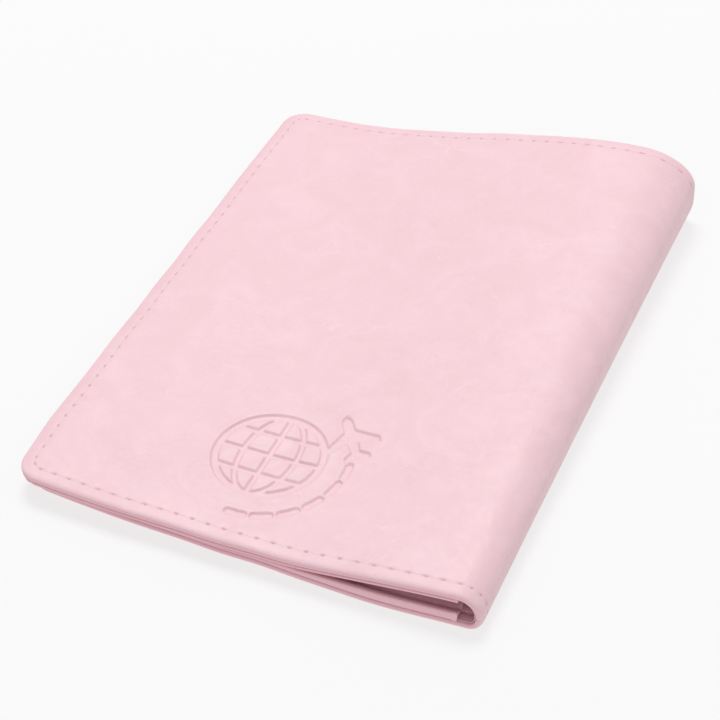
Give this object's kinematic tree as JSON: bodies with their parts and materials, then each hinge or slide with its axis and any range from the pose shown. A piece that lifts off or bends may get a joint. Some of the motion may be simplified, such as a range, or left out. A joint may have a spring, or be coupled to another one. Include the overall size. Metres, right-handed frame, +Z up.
{
  "type": "passport holder",
  "caption": "Soft bifold passport holder with turned, topstitched edges, a loosely rolled spine, full-width inner sleeves and stepped card pockets.",
  "frame": {"origin": "centre of the closed holder's bounding box, on the surface it lies on", "axes": "+X from the fore edge to the spine, +Y up the pages, +Z up from the back cover through the front cover"},
  "size_m": [0.104, 0.14, 0.018],
  "materials": {
    "leather": "smooth pale pink imitation leather, faintly mottled and creased, soft satin sheen",
    "lining": "fine plain-woven dusty pink lining cloth",
    "board": "uncoated grey-buff board",
    "thread": "twisted polyester sewing thread in the colour of the leather"
  },
  "bodies": {
    "back_cover": {"back_cover_shell": "leather", "back_stiffener_board": "board", "back_lining": "lining", "back_passport_sleeve": "leather", "back_seam_thread": "thread"},
    "spine": {"spine_shell": "leather", "spine_lining": "lining", "spine_seam_thread_bottom": "thread", "spine_seam_thread_top": "thread"},
    "front_cover": {"front_cover_shell": "leather", "front_stiffener_board": "board", "front_lining": "lining", "front_passport_sleeve": "leather", "front_seam_thread": "thread", "front_card_pocket_upper": "leather", "front_card_pocket_middle": "leather", "front_card_pocket_lower": "leather"}
  },
  "joints": [
    {"name": "spine_fold", "type": "hinge", "parent": "back_cover", "child": "spine", "pos_m": [0.051, 0, 0.001], "axis": [0, 1, 0], "range_deg": [0, 90]},
    {"name": "cover_open", "type": "hinge", "parent": "spine", "child": "front_cover", "pos_m": [0.0505, 0, 0.0149], "axis": [0, 0.9991, 0.0428], "range_deg": [0, 93]}
  ],
  "couplings": [
    {"joint": "cover_open", "follows": "spine_fold", "ratio": 1.0333}
  ]
}
